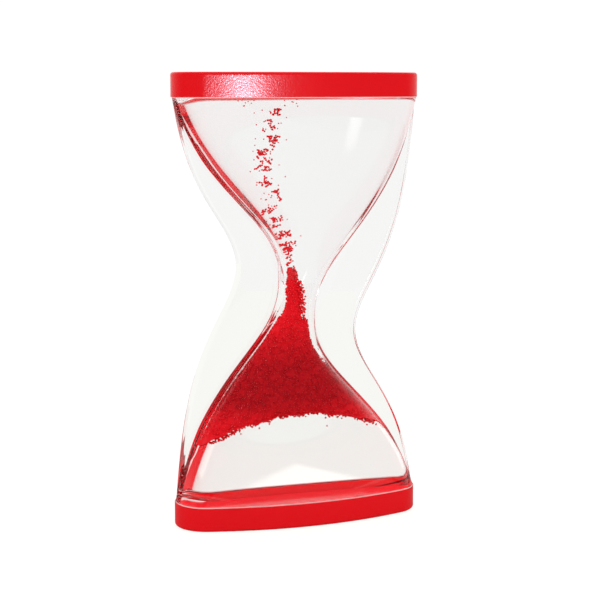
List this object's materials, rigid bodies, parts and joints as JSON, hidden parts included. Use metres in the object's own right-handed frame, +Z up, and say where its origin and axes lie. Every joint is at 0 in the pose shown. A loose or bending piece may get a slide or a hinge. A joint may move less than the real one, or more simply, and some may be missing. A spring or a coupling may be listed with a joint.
{
  "type": "liquid timer",
  "caption": "Hand-held liquid timer: a clear hourglass chamber between flat oval red caps, filled with liquid in which red beads rise through the neck.",
  "frame": {"origin": "middle of the base cap's underside", "axes": "+Z up through both caps, X along the oval's length, the front faces -Y"},
  "size_m": [0.0854, 0.032, 0.15],
  "materials": {
    "clear_shell": "clear polished",
    "cap": "satin",
    "closure": "glossy",
    "gasket": "matte",
    "stopper": "glossy",
    "liquid": "clear",
    "beads": "glossy"
  },
  "bodies": {
    "timer": {"front_shell": "clear_shell", "rear_shell": "clear_shell", "top_cap": "cap", "base_cap": "cap", "top_closure": "closure", "base_closure": "closure", "top_gasket": "gasket", "base_gasket": "gasket", "top_fill_plug": "stopper", "base_fill_plug": "stopper", "liquid": "liquid", "bead_pack": "beads", "ceiling_beads": "beads"},
    "clump_1": {"bead_clump_1": "beads"},
    "clump_2": {"bead_clump_2": "beads"},
    "clump_3": {"bead_clump_3": "beads"},
    "clump_4": {"bead_clump_4": "beads"},
    "clump_5": {"bead_clump_5": "beads"},
    "clump_6": {"bead_clump_6": "beads"},
    "clump_7": {"bead_clump_7": "beads"},
    "clump_8": {"bead_clump_8": "beads"},
    "clump_9": {"bead_clump_9": "beads"},
    "clump_10": {"bead_clump_10": "beads"},
    "clump_11": {"bead_clump_11": "beads"}
  },
  "joints": [
    {"name": "clump_1_rise", "type": "slide", "parent": "timer", "child": "clump_1", "axis": [0, 0, 1], "range_m": [0, 0.01706]},
    {"name": "clump_2_rise", "type": "slide", "parent": "timer", "child": "clump_2", "axis": [0, 0, 1], "range_m": [0, 0.01578]},
    {"name": "clump_3_rise", "type": "slide", "parent": "timer", "child": "clump_3", "axis": [0, 0, 1], "range_m": [0, 0.01451]},
    {"name": "clump_4_rise", "type": "slide", "parent": "timer", "child": "clump_4", "axis": [0, 0, 1], "range_m": [0, 0.01323]},
    {"name": "clump_5_rise", "type": "slide", "parent": "timer", "child": "clump_5", "axis": [0, 0, 1], "range_m": [0, 0.01196]},
    {"name": "clump_6_rise", "type": "slide", "parent": "timer", "child": "clump_6", "axis": [0, 0, 1], "range_m": [0, 0.01068]},
    {"name": "clump_7_rise", "type": "slide", "parent": "timer", "child": "clump_7", "axis": [0, 0, 1], "range_m": [0, 0.0094]},
    {"name": "clump_8_rise", "type": "slide", "parent": "timer", "child": "clump_8", "axis": [0, 0, 1], "range_m": [0, 0.00813]},
    {"name": "clump_9_rise", "type": "slide", "parent": "timer", "child": "clump_9", "axis": [0, 0, 1], "range_m": [0, 0.00685]},
    {"name": "clump_10_rise", "type": "slide", "parent": "timer", "child": "clump_10", "axis": [0, 0, 1], "range_m": [0, 0.00558]},
    {"name": "clump_11_rise", "type": "slide", "parent": "timer", "child": "clump_11", "axis": [0, 0, 1], "range_m": [0, 0.0043]}
  ],
  "couplings": [
    {"joint": "clump_2_rise", "follows": "clump_1_rise", "ratio": 0.92495},
    {"joint": "clump_3_rise", "follows": "clump_1_rise", "ratio": 0.85051},
    {"joint": "clump_4_rise", "follows": "clump_1_rise", "ratio": 0.77548},
    {"joint": "clump_5_rise", "follows": "clump_1_rise", "ratio": 0.70104},
    {"joint": "clump_6_rise", "follows": "clump_1_rise", "ratio": 0.62601},
    {"joint": "clump_7_rise", "follows": "clump_1_rise", "ratio": 0.55098},
    {"joint": "clump_8_rise", "follows": "clump_1_rise", "ratio": 0.47653},
    {"joint": "clump_9_rise", "follows": "clump_1_rise", "ratio": 0.4015},
    {"joint": "clump_10_rise", "follows": "clump_1_rise", "ratio": 0.32706},
    {"joint": "clump_11_rise", "follows": "clump_1_rise", "ratio": 0.25203}
  ]
}
